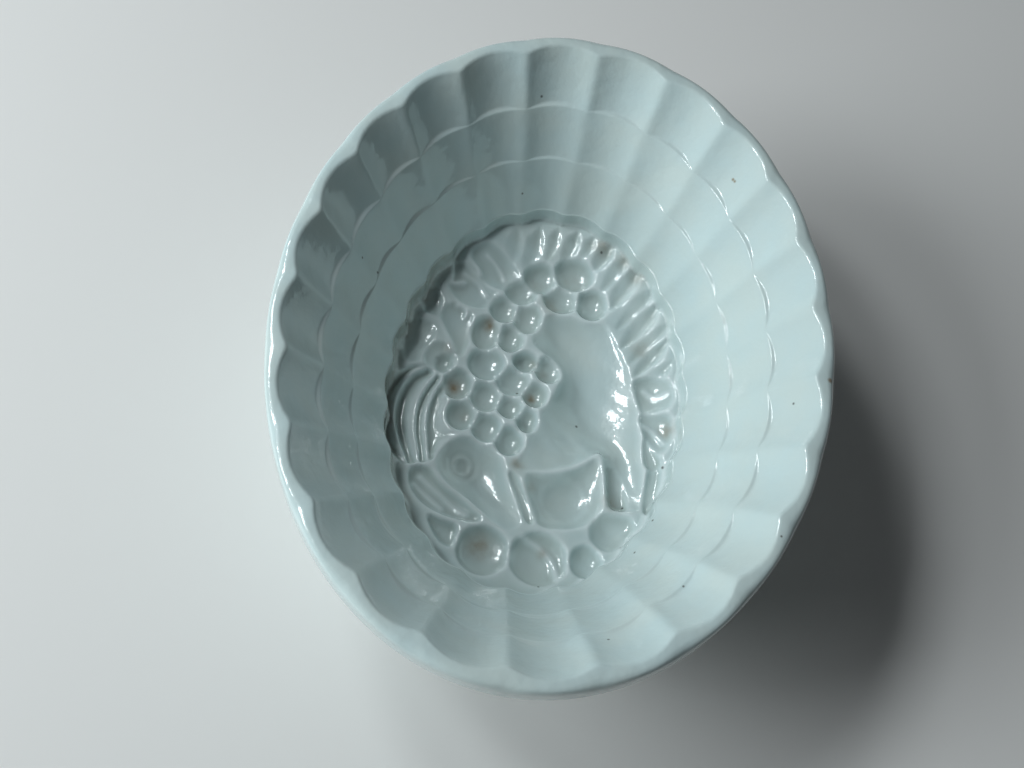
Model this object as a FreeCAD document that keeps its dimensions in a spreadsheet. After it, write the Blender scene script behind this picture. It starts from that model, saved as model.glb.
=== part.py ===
import FreeCAD, Part
import math
import os

import Sketcher
from FreeCAD import Rotation, Vector

# Oval pudding mould of white glazed earthenware, cast in one piece.
# The long axis is Y, the mouth faces up, and the origin is the middle of the foot.
# The cavity has 24 flutes in three tiers. A fruit still life is sunk into its floor, and
# stands out from a pudding that is turned out of the mould.

SIZES = {
    # the whole mould
    "mould_width": 145.0,
    "mould_length": 190.0,
    "mould_height": 60.0,
    # outside
    "lip_height": 7.0,
    "lip_overhang": 1.6,
    "lip_round": 2.2,
    "lip_under_round": 0.9,
    "flare_height": 45.0,
    "flare_width": 127.8,
    "flare_length": 168.2,
    "waist_height": 36.7,
    "waist_width": 117.0,
    "waist_length": 153.6,
    "belly_height": 24.0,
    "belly_width": 101.0,
    "belly_length": 136.6,
    "middle_wall_height": 16.0,
    "middle_wall_width": 95.2,
    "middle_wall_length": 130.6,
    "low_wall_height": 8.0,
    "low_wall_width": 90.2,
    "low_wall_length": 125.4,
    "foot_width": 86.0,
    "foot_length": 121.0,
    "foot_ring": 6.0,
    "foot_recess": 4.5,
    "recess_draft": 1.0,
    # inside: the ovals run through the ridges between the flutes
    "flute_count": 24,
    "mouth_width": 133.8,
    "mouth_length": 178.2,
    "first_ledge_height": 48.3,
    "first_ledge_width": 115.6,
    "first_ledge_length": 156.7,
    "second_ledge_height": 36.7,
    "second_ledge_width": 100.2,
    "second_ledge_length": 137.0,
    "edge_height": 24.2,
    "edge_width": 81.0,
    "edge_length": 116.6,
    "basin_width": 79.4,
    "basin_length": 115.0,
    "field_height": 17.5,
    "field_width": 76.0,
    "field_length": 111.4,
    "ledge_step": 0.35,
    # how far the flutes of each tier bulge past the oval through their ridges
    "upper_bulge": 2.1,
    "middle_bulge": 0.8,
    "lower_bulge": 0.45,
    "basin_bulge": 0.9,
    "flute_overlap": 1.12,
    "flute_root": 3.0,
    "flute_run_out": 0.3,
    # fruit and leaves, sunk below the field
    "large_grape_radius": 4.4,
    "grape_radius": 3.7,
    "grape_depth": 3.0,
    "pear_depth": 4.4,
    "pear_radius": 8.8,
    "pear_length": 30.0,
    "fruit_depth": 4.0,
    "berry_depth": 2.6,
    "slice_depth": 2.8,
    "gourd_depth": 4.2,
    "leaf_depth": 2.2,
    "side_draft": 0.7,
}

# Grapes on the field. The first ones are larger.
GRAPES = [
    (-3.4, 39.9), (6.0, 43.2), (3.6, 33.8), (12.6, 34.2), (-15.2, 8.6),
    (-9.0, 34.0), (-12.6, 26.8), (-5.2, 25.6), (-17.0, 18.4), (-9.2, 18.2), (-4.2, 11.9), (3.2, 10.4),
    (-7.2, 4.3), (-21.6, 1.0), (0.4, 2.4), (-14.0, -1.8), (-6.4, -3.3), (-19.4, -8.8), (-1.4, -6.6),
    (-11.8, -10.9), (-4.2, -13.8),
]
LARGE_GRAPES = 5
GRAPE_SIDES = 10

# Each round hollow narrows in steps: share of its half width, then share of its depth.
BOWL_STEPS = [(1.0, 0.0), (0.88, 0.48), (0.62, 0.8), (0.28, 1.0)]

# Other round fruits: name, centre, two half widths, turn in degrees and depth.
ROUND_FRUITS = [
    ("Apple", (12.2, -28.4), (9.8, 7.6), 8.0, "fruit_depth"),
    ("Plum", (-7.4, -46.6), (6.6, 6.2), 0.0, "fruit_depth"),
    ("Peach", (7.2, -46.2), (7.0, 6.2), 0.0, "fruit_depth"),
    ("Fig", (19.2, -42.4), (4.0, 3.6), 28.0, "berry_depth"),
    ("Nut", (25.8, -33.4), (3.0, 4.2), 10.0, "berry_depth"),
    ("Haw", (-18.2, -43.4), (3.2, 2.4), -35.0, "berry_depth"),
    ("Berry", (-27.6, 7.4), (4.0, 4.4), 0.0, "berry_depth"),
]
FRUIT_SIDES = 14

# The fan of narrow leaves runs from the right round the far end, in degrees. Its roots and
# its tips lie on two ovals, given by their half width and half length.
FAN_LEAVES = 11
FAN_START = 19.0
FAN_END = 106.0
FAN_ROOTS = (27.6, 48.4)
FAN_TIPS = (36.4, 54.0)
FAN_LEAF_HALF_WIDTH = 2.2
LEAF_SIDES = 8
LEAF_STEPS = [(1.0, 0.0), (0.4, 1.0)]

# Broad leaves at both sides: centre, two half widths and turn in degrees.
SIDE_LEAVES = [
    ((-16.8, 40.6), (5.6, 4.2), -28.0),
    ((-23.4, 33.4), (5.2, 3.6), -35.0),
    ((-25.2, 25.6), (5.2, 3.0), -30.0),
    ((-30.4, 19.4), (5.4, 2.4), -55.0),
    ((-22.4, 14.4), (1.4, 4.0), 0.0),
    ((-34.4, 11.2), (2.0, 5.6), 0.0),
    ((32.8, 7.4), (3.8, 3.0), 10.0),
    ((34.0, -2.8), (2.0, 4.0), 0.0),
]

# Slices of melon at the left: both ends and how far the middle line bows out.
MELON_SLICES = [
    ((-31.2, 2.4), (-30.0, -24.6), 5.0),
    ((-28.2, 1.4), (-26.6, -24.0), 3.9),
    ((-26.2, -3.0), (-23.4, -22.2), 2.6),
]
MELON_HALF_WIDTH = 1.25
MELON_SIDES = 6

# The pear lies with its eye to the left and its stalk towards the near end.
# Its girth is given at shares of its length, as shares of its largest radius.
PEAR_EYE = (-21.6, -17.6)
PEAR_TURN = -42.0
PEAR_GIRTH = [(0.0, 0.3), (0.07, 0.64), (0.26, 1.0), (0.5, 0.88), (0.78, 0.62), (0.94, 0.42), (1.0, 0.14)]
PEAR_SIDES = 12

# The gourd beside the bunch, with its straight stalk down the right. Its runs of points
# are smooth, and the ends of a run are corners.
GOURD_OUTLINE = [
    [(-2.0, -20.6), (1.4, -10.8), (4.8, -0.4), (8.2, 9.0), (6.4, 15.4)],
    [(6.4, 15.4), (-1.2, 17.8), (-0.4, 24.4), (7.0, 28.2), (16.8, 28.2)],
    [(16.8, 28.2), (24.6, 14.6), (29.2, -0.8), (32.6, -25.8)],
    [(32.6, -25.8), (25.4, -26.8)],
    [(25.4, -26.8), (21.8, -13.4)],
    [(21.8, -13.4), (12.2, -18.2), (-2.0, -20.6)],
]
BROAD_LEAF_OUTLINE = [
    [(-29.0, -27.4), (-28.0, -34.0), (-21.2, -39.2), (-11.4, -39.8)],
    [(-11.4, -39.8), (-12.0, -38.2)],
    [(-12.0, -38.2), (-20.8, -33.4), (-25.2, -27.2)],
    [(-25.2, -27.2), (-29.0, -27.4)],
]
OUTLINE_STEP = 4.6

doc = FreeCAD.newDocument("PuddingMould")
sheet = doc.addObject("Spreadsheet::Sheet", "Sizes")
for row, (alias, value) in enumerate(SIZES.items(), start=1):
    sheet.set(f"A{row}", alias)
    sheet.set(f"B{row}", str(value))
    sheet.setAlias(f"B{row}", alias)
doc.recompute()

body = doc.addObject("PartDesign::Body", "CastForm")
doc.recompute()


def size(alias):
    """Read one driving dimension from the sheet."""
    return float(sheet.get(alias))


def oval_sketch(name, height, width, length):
    """Draw a level oval about the middle. Its height and both axes follow the sheet."""
    sketch = body.newObject("Sketcher::SketchObject", name)
    level = next(item for item in body.Origin.OriginFeatures if item.Role == "XY_Plane")
    sketch.AttachmentSupport = [(level, "")]
    sketch.MapMode = "FlatFace"
    sketch.setExpression("AttachmentOffset.Base.z", height)
    long_end = Vector(0, size("mould_length") / 2, 0)
    short_end = Vector(size("mould_width") / 2, 0, 0)
    oval = sketch.addGeometry(Part.Ellipse(long_end, short_end, Vector(0, 0, 0)))
    sketch.exposeInternalGeometry(oval)
    long_axis = oval + 1
    short_axis = oval + 2
    sketch.addConstraint(Sketcher.Constraint("Coincident", oval, 3, -1, 1))
    sketch.addConstraint(Sketcher.Constraint("Vertical", long_axis))
    along = sketch.addConstraint(Sketcher.Constraint("Distance", long_axis, size("mould_length")))
    across = sketch.addConstraint(Sketcher.Constraint("Distance", short_axis, size("mould_width")))
    sketch.renameConstraint(along, "Along")
    sketch.renameConstraint(across, "Across")
    sketch.setExpression("Constraints.Along", length)
    sketch.setExpression("Constraints.Across", width)
    return sketch


def oval_loft(kind, name, sections):
    """Add or remove the solid that joins a stack of ovals: height, width and length."""
    sketches = [oval_sketch(f"{name}{i + 1}", *section) for i, section in enumerate(sections)]
    feature = body.newObject(f"PartDesign::{kind}Loft", name)
    feature.Profile = (sketches[0], [""])
    feature.Sections = [(sketch, [""]) for sketch in sketches[1:]]
    feature.Ruled = True
    feature.Refine = False


def inset(amount):
    """Give the width and length of the mould's own oval, moved in by an amount."""
    return f"Sizes.mould_width - 2 * ({amount})", f"Sizes.mould_length - 2 * ({amount})"


def outside():
    """Build the plain flared wall, its rounded lip and the foot ring."""
    lip_bottom = "Sizes.mould_height - Sizes.lip_height"
    oval_loft("Additive", "Wall", [
        ("0 mm", "Sizes.foot_width", "Sizes.foot_length"),
        ("Sizes.low_wall_height", "Sizes.low_wall_width", "Sizes.low_wall_length"),
        ("Sizes.middle_wall_height", "Sizes.middle_wall_width", "Sizes.middle_wall_length"),
        ("Sizes.belly_height", "Sizes.belly_width", "Sizes.belly_length"),
        ("Sizes.waist_height", "Sizes.waist_width", "Sizes.waist_length"),
        ("Sizes.flare_height", "Sizes.flare_width", "Sizes.flare_length"),
        (lip_bottom, *inset("Sizes.lip_overhang")),
    ])
    oval_loft("Additive", "Lip", [
        (lip_bottom, *inset("Sizes.lip_under_round")),
        (f"{lip_bottom} + Sizes.lip_under_round", *inset("0")),
        ("Sizes.mould_height - Sizes.lip_round", *inset("0")),
        ("Sizes.mould_height - 0.3 * Sizes.lip_round", *inset("0.3 * Sizes.lip_round")),
        ("Sizes.mould_height", *inset("Sizes.lip_round")),
    ])
    ring = "2 * Sizes.foot_ring"
    top_ring = f"{ring} - 2 * Sizes.recess_draft"
    oval_loft("Subtractive", "FootRecess", [
        ("0 mm", f"Sizes.foot_width - {ring}", f"Sizes.foot_length - {ring}"),
        ("Sizes.foot_recess", f"Sizes.foot_width - {top_ring}", f"Sizes.foot_length - {top_ring}"),
    ])


def even_angles(half_width, half_length, start, end, count):
    """Divide a stretch of an oval into parts of one length. Gives the angles of all ends."""
    steps = 100 * count
    step = (end - start) / steps
    run = [0.0]
    for i in range(steps):
        angle = start + (i + 0.5) * step
        pace = math.hypot(half_width * math.sin(angle), half_length * math.cos(angle))
        run.append(run[-1] + pace * step)
    marks = [next(i for i, far in enumerate(run) if far >= run[-1] * k / count) for k in range(count + 1)]
    return [start + step * mark for mark in marks]


def ridge_angles():
    """Space the ridges evenly round the mouth, as angles of its oval."""
    half_width = size("mouth_width") / 2
    half_length = size("mouth_length") / 2
    return even_angles(half_width, half_length, 0.0, 2 * math.pi, int(size("flute_count")))[:-1]


def oval_points(oval, height, angles, inward=0.0):
    """Place points on one of the sheet's ovals, or inside it, at a height."""
    half_width = size(f"{oval}_width") / 2 - inward
    half_length = size(f"{oval}_length") / 2 - inward
    return [Vector(half_width * math.cos(angle), half_length * math.sin(angle), height) for angle in angles]


def flute(top_ends, low_ends, bulge):
    """Draw one flute's arc square to its slope, past both its ridges, and draw it out."""
    chord = top_ends[1] - top_ends[0]
    middle = (top_ends[0] + top_ends[1]) / 2
    low_middle = (low_ends[0] + low_ends[1]) / 2
    outward = (low_middle - middle).cross(chord).normalize()
    rise = bulge * math.hypot(outward.x, outward.y)
    radius = (chord.Length ** 2 / 4 + rise ** 2) / (2 * rise)
    low_rise = low_ends[0].distanceToPoint(low_ends[1]) ** 2 / (8 * radius)
    crest = middle + outward * rise
    slope = low_middle + outward * low_rise - crest
    square = slope.cross(chord).normalize()
    centre = crest - square * radius
    half_angle = size("flute_overlap") * math.asin(chord.Length / 2 / radius)
    turns = [Rotation(slope, math.degrees(angle)) for angle in (-half_angle, half_angle)]
    first, last = [centre + turn.multVec(square * radius) for turn in turns]
    roots = [point - square * size("flute_root") for point in (last, first)]
    arc = Part.Arc(first, crest, last).toShape()
    sides = Part.makePolygon([last, *roots, first])
    section = Part.Face(Part.Wire([arc, *sides.Edges]))
    section.translate(slope * -size("flute_run_out"))
    return section.extrude(slope * (1 + 2 * size("flute_run_out")))


def tier(name, top_oval, top_height, low_oval, low_height, bulge, step=0.0):
    """Make one tier of the pudding: a core between two ovals, ringed by its flutes."""
    top_level = size(top_height)
    low_level = size(low_height)
    ridges = ridge_angles()
    middles = [(a + b) / 2 for a, b in zip(ridges, ridges[1:] + [2 * math.pi])]
    top = oval_points(top_oval, top_level, ridges, step)
    crests = oval_points(top_oval, top_level, middles, step)
    low = oval_points(low_oval, low_level, ridges)
    inward = size("flute_root") / 2
    top_core = oval_points(top_oval, top_level, ridges, inward)
    low_core = oval_points(low_oval, low_level, ridges, inward)
    core = Part.makeLoft([Part.makePolygon(ring + ring[:1]) for ring in (top_core, low_core)], True, True)
    corner = Vector(-size("mould_width") / 2, -size("mould_length") / 2, low_level)
    slab = Part.makeBox(size("mould_width"), size("mould_length"), top_level - low_level, corner)
    flutes = []
    for i, crest in enumerate(crests):
        j = (i + 1) % len(top)
        full_bulge = crest.distanceToPoint((top[i] + top[j]) / 2) + size(bulge)
        flutes.append(flute((top[i], top[j]), (low[i], low[j]), full_bulge).common(slab))
    feature = doc.addObject("Part::Feature", name)
    feature.Shape = core.multiFuse(flutes).removeSplitter()
    return feature


def tiers():
    """Make the three tiers and the basin that holds the still life."""
    step = size("ledge_step")
    return [
        tier("UpperTier", "mouth", "mould_height", "first_ledge", "first_ledge_height", "upper_bulge"),
        tier("MiddleTier", "first_ledge", "first_ledge_height",
             "second_ledge", "second_ledge_height", "middle_bulge", step),
        tier("LowerTier", "second_ledge", "second_ledge_height",
             "edge", "edge_height", "lower_bulge", step),
        tier("Basin", "basin", "edge_height", "field", "field_height", "basin_bulge"),
    ]


def faceted(name, rings):
    """Join rings of points, each with as many points as the next, by flat facets."""
    faces = [Part.Face(Part.makePolygon(ring + ring[:1])) for ring in (rings[0], rings[-1])]
    for upper, lower in zip(rings, rings[1:]):
        for i in range(len(upper)):
            corners = [upper[i - 1], upper[i], lower[i], lower[i - 1]]
            faces.append(Part.Face(Part.makePolygon(corners + corners[:1])))
    feature = doc.addObject("Part::Feature", name)
    feature.Shape = Part.Solid(Part.Shell(faces))
    return feature


def round_hollow(name, centre, half_widths, turn, sides, steps, depth):
    """Make a round or egg-shaped hollow that narrows in steps."""
    turned = Rotation(Vector(0, 0, 1), turn)
    angles = [2 * math.pi * i / sides for i in range(sides)]
    outline = [Vector(half_widths[0] * math.cos(a), half_widths[1] * math.sin(a), 0) for a in angles]
    rings = []
    for width_share, depth_share in steps:
        middle = Vector(*centre, size("field_height") - depth_share * size(depth))
        rings.append([middle + turned.multVec(point * width_share) for point in outline])
    return faceted(name, rings)


def flat_hollow(name, points, depth):
    """Make a flat-bottomed hollow whose sides lean in from a ring of points."""
    area = sum(points[i - 1].x * points[i].y - points[i].x * points[i - 1].y for i in range(len(points)))
    inward = 1 if area > 0 else -1
    upper = []
    lower = []
    for i, point in enumerate(points):
        before = (point - points[i - 1]).normalize()
        after = (points[(i + 1) % len(points)] - point).normalize()
        bisector = Vector(-before.y - after.y, before.x + after.x, 0) * inward
        shift = bisector * (2 * size("side_draft") / bisector.Length ** 2)
        upper.append(point + Vector(0, 0, size("field_height")))
        lower.append(point + shift + Vector(0, 0, size("field_height") - size(depth)))
    return faceted(name, [upper, lower])


def outline_points(outline):
    """Walk round an outline in even steps. Each of its runs is smooth."""
    points = []
    for run in outline:
        curve = Part.BSplineCurve()
        curve.interpolate([Vector(*point, 0) for point in run])
        count = max(2, round(curve.length() / OUTLINE_STEP) + 1)
        points += curve.discretize(count)[:-1]
    return points


def grapes():
    """Make the bunch of grapes."""
    bunch = []
    for i, centre in enumerate(GRAPES):
        radius = size("large_grape_radius" if i < LARGE_GRAPES else "grape_radius")
        grape = round_hollow(f"Grape{i + 1:02d}", centre, (radius, radius), 0,
                             GRAPE_SIDES, BOWL_STEPS, "grape_depth")
        bunch.append(grape)
    return bunch


def leaves():
    """Make the fan of narrow leaves and the broad leaves."""
    first = math.radians(FAN_START)
    last = math.radians(FAN_END)
    places = []
    for angle in even_angles(*FAN_TIPS, first, last, FAN_LEAVES - 1):
        root = Vector(FAN_ROOTS[0] * math.cos(angle), FAN_ROOTS[1] * math.sin(angle), 0)
        tip = Vector(FAN_TIPS[0] * math.cos(angle), FAN_TIPS[1] * math.sin(angle), 0)
        centre = (root + tip) / 2
        reach = tip - root
        turn = math.degrees(math.atan2(reach.y, reach.x))
        places.append(((centre.x, centre.y), (reach.Length / 2, FAN_LEAF_HALF_WIDTH), turn))
    foliage = []
    for i, (centre, half_widths, turn) in enumerate(places + SIDE_LEAVES):
        leaf = round_hollow(f"Leaf{i + 1:02d}", centre, half_widths, turn,
                            LEAF_SIDES, LEAF_STEPS, "leaf_depth")
        foliage.append(leaf)
    foliage.append(flat_hollow("BroadLeaf", outline_points(BROAD_LEAF_OUTLINE), "leaf_depth"))
    return foliage


def melon():
    """Make the curved slices of melon. Their middle lines are arcs."""
    slices = []
    for i, (top, bottom, bow) in enumerate(MELON_SLICES):
        top = Vector(*top)
        bottom = Vector(*bottom)
        half_chord = (bottom - top) / 2
        outward = Vector(half_chord.y, -half_chord.x, 0).normalize()
        radius = (half_chord.Length ** 2 + bow ** 2) / (2 * bow)
        centre = (top + bottom) / 2 + outward * (bow - radius)
        half_angle = math.degrees(2 * math.atan(bow / half_chord.Length))
        turns = [half_angle * (2 * k / MELON_SIDES - 1) for k in range(MELON_SIDES + 1)]
        rays = [Rotation(Vector(0, 0, 1), turn).multVec(outward) for turn in turns]
        outer = [centre + ray * (radius + MELON_HALF_WIDTH) for ray in rays]
        inner = [centre + ray * (radius - MELON_HALF_WIDTH) for ray in reversed(rays)]
        slices.append(flat_hollow(f"MelonSlice{i + 1}", outer + inner, "slice_depth"))
    return slices


def pear():
    """Make the pear from flattened rings across its own axis, which lies on the field."""
    eye = Vector(*PEAR_EYE, size("field_height"))
    lying = Rotation(Vector(0, 0, 1), PEAR_TURN)
    turns = [2 * math.pi * i / PEAR_SIDES for i in range(PEAR_SIDES)]
    rings = []
    for length_share, girth_share in PEAR_GIRTH:
        along = length_share * size("pear_length")
        half_width = girth_share * size("pear_radius")
        half_depth = girth_share * size("pear_depth")
        ring = [Vector(along, half_width * math.cos(a), half_depth * math.sin(a)) for a in turns]
        rings.append([eye + lying.multVec(point) for point in ring])
    return faceted("Pear", rings)


def still_life():
    """Collect the fruit and leaves that are sunk into the floor."""
    fruits = grapes() + leaves() + melon() + [pear()]
    for name, centre, half_widths, turn, depth in ROUND_FRUITS:
        fruits.append(round_hollow(name, centre, half_widths, turn, FRUIT_SIDES, BOWL_STEPS, depth))
    fruits.append(flat_hollow("Gourd", outline_points(GOURD_OUTLINE), "gourd_depth"))
    return fruits


def check(solid):
    """Stop if any object failed or the mould isn't one sound solid."""
    for item in doc.Objects:
        if "Invalid" in item.State or "Error" in item.State:
            raise RuntimeError(f"{item.Name}: {item.State}")
    shape = solid.Shape
    if shape.isNull() or not shape.isValid() or len(shape.Solids) != 1:
        raise RuntimeError("the mould isn't one valid solid")


outside()
doc.recompute()

pudding = doc.addObject("Part::MultiFuse", "Pudding")
pudding.Shapes = tiers() + still_life()
pudding.Refine = False

mould = doc.addObject("Part::Cut", "Mould")
mould.Label = "mould"
mould.Base = body
mould.Tool = pudding
mould.Refine = False
doc.recompute()
check(mould)
for item in (body, pudding, mould):
    print(f"{item.Name}: {item.Shape.Volume:.0f} cubic mm, {len(item.Shape.Faces)} faces")

os.makedirs("parts", exist_ok=True)
mould.Shape.exportStep(f"parts/{mould.Label}.step")
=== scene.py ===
import math
from collections import namedtuple

import bmesh
import bpy
import numpy as np
from mathutils import Matrix, Vector
from mathutils.geometry import delaunay_2d_cdt


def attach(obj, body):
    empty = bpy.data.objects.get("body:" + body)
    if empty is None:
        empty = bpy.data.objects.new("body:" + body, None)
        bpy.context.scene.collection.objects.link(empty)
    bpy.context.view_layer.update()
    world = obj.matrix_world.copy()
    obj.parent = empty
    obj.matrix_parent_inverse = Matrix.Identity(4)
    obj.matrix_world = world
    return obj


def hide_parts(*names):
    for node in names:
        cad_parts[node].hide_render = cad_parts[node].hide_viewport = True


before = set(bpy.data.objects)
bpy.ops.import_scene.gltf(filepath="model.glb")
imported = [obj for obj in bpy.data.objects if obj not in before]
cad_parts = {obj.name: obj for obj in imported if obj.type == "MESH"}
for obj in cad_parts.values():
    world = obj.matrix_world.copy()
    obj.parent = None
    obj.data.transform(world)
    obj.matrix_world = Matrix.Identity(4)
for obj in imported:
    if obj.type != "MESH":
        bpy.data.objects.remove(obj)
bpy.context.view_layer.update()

# A white glazed pudding mould, cast in one piece. The lengths below are millimetres in the
# frame's axes: the long axis is Y, the mouth faces up and the foot stands on z = 0.
MM = 0.001

# Columns of points run round the mould. They crowd at the ridges between flutes, by waves along
# each flute: how many, and how high.
FLUTES = 24
COLUMNS_PER_FLUTE = 18
COLUMNS = FLUTES * COLUMNS_PER_FLUTE
CROWDING = [(2, 0.45), (1, 0.25)]

# Half width and half length of the oval through the ridges at the mouth, and the steps per flute
# in which its length is measured.
MOUTH = (66.9, 89.1)
MEASURING_STEPS = 100

# The section runs from the middle of the foot's recess, out and up the wall, over the lip
# and down the tiers. Depth is how far the flutes bulge out, softness is how round their ridges
# are, radius belongs to the stop's rounded corner, and the steps lead to the next stop.
Stop = namedtuple("Stop", "name half_width half_length height depth softness radius steps")
SECTION = [
    Stop("recess", 36.0, 53.5, 4.5, 0.0, 0.5, 1.2, 1),
    Stop("foot_inner", 37.0, 54.5, 0.0, 0.0, 0.5, 1.0, 1),
    Stop("foot_outer", 43.0, 60.5, 0.0, 0.0, 0.5, 1.2, 1),
    Stop("belly", 50.5, 68.3, 24.0, 0.0, 0.5, 8.0, 1),
    Stop("waist", 58.5, 76.8, 36.7, 0.0, 0.5, 6.0, 1),
    Stop("flare", 63.9, 84.1, 45.0, 0.0, 0.5, 4.0, 1),
    Stop("lip_under", 70.9, 93.4, 53.0, 0.0, 0.5, 1.0, 1),
    Stop("lip_side", 72.5, 95.0, 53.9, 0.0, 0.5, 1.6, 1),
    Stop("lip_top", 72.5, 95.0, 60.0, 0.0, 0.5, 3.0, 1),
    Stop("mouth", 66.9, 89.1, 60.0, 2.6, 0.15, 0.8, 5),
    Stop("first_ledge_out", 57.7, 78.25, 48.4, 2.4, 0.16, 0.6, 1),
    Stop("first_ledge_in", 57.6, 78.15, 48.2, 1.2, 0.2, 0.4, 5),
    Stop("second_ledge_out", 50.0, 68.4, 36.8, 1.6, 0.2, 0.6, 1),
    Stop("second_ledge_in", 49.9, 68.3, 36.6, 0.8, 0.24, 0.4, 4),
    Stop("edge_out", 40.6, 58.4, 24.5, 1.5, 0.24, 0.5, 1),
    Stop("edge_in", 40.2, 58.0, 24.35, 1.5, 0.24, 0.35, 2),
    Stop("drop", 39.8, 57.6, 21.2, 1.5, 0.24, 0.4, 1),
]

# A rounded corner has this many steps, and takes at most this share of the runs beside it.
CORNER_STEPS = 4
CORNER_SHARE = 0.48

# Rings inside the recess, as shares of its size.
RECESS_RINGS = (0.15, 0.4, 0.7)

# The lowest line of the wall, where it meets the floor.
BASIN_HALF_WIDTH, BASIN_HALF_LENGTH, BASIN_HEIGHT = SECTION[-1][1:4]

# The floor is a lattice of triangles of this pitch. It is laid out a little larger than the
# basin, cut off at this margin inside the wall, and joined to the wall by a narrow band.
LATTICE_PITCH = 0.38
LATTICE_SPARE = 2.0
LATTICE_MARGIN = 0.4
TRIANGLES_INSIDE = 1
BAND_ERROR = 1e-7

# The plain field between the fruits, and how far a round cove runs in from the wall.
FIELD_HEIGHT = 17.5
COVE_RUN = 2.2

# Under the fan of leaves the field rises by this much, from this share of the way out to the
# basin's wall. The rise starts, is full, begins to end, and ends at these angles in degrees.
FAN_RISE = 2.6
FAN_RISE_START = 0.74
FAN_SPREAD = (-30.0, 8.0, 118.0, 150.0)

# Grapes: centre and half widths.
GRAPES = [
    (-3.4, 39.8, 4.7, 4.7), (6.0, 43.0, 5.5, 5.0), (-8.4, 34.0, 4.3, 3.8), (3.4, 34.2, 4.9, 4.4),
    (12.5, 34.2, 4.3, 4.8), (-12.4, 27.2, 3.9, 4.0), (-5.4, 25.8, 3.9, 4.8), (-16.4, 18.4, 3.9, 5.2),
    (-9.2, 18.2, 3.4, 4.2), (-14.8, 8.6, 5.0, 4.8), (-3.8, 11.6, 3.4, 2.8), (3.0, 10.4, 3.7, 3.9),
    (-6.6, 4.6, 4.6, 4.2), (-21.8, 0.6, 3.9, 4.4), (0.2, 1.8, 3.3, 3.6), (-13.4, -1.6, 4.1, 4.5),
    (-6.2, -3.2, 3.4, 3.4), (-19.3, -8.6, 3.9, 4.3), (-0.9, -6.4, 2.7, 3.6), (-11.8, -11.0, 3.9, 4.2),
    (-5.0, -13.8, 3.7, 4.1),
]
GRAPE_DEPTH = 3.6

# Other round fruits: centre, half widths and depth.
ROUND_FRUITS = {
    "plum": (-7.4, -46.8, 6.8, 6.6, 3.6),
    "peach": (7.6, -46.4, 7.6, 7.2, 3.4),
    "fig": (20.2, -44.8, 4.0, 4.4, 2.6),
    "berry_rim": (-28.0, 7.3, 4.2, 4.9, 1.6),
    "berry": (-26.8, 6.6, 2.5, 2.9, 3.0),
}

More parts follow.
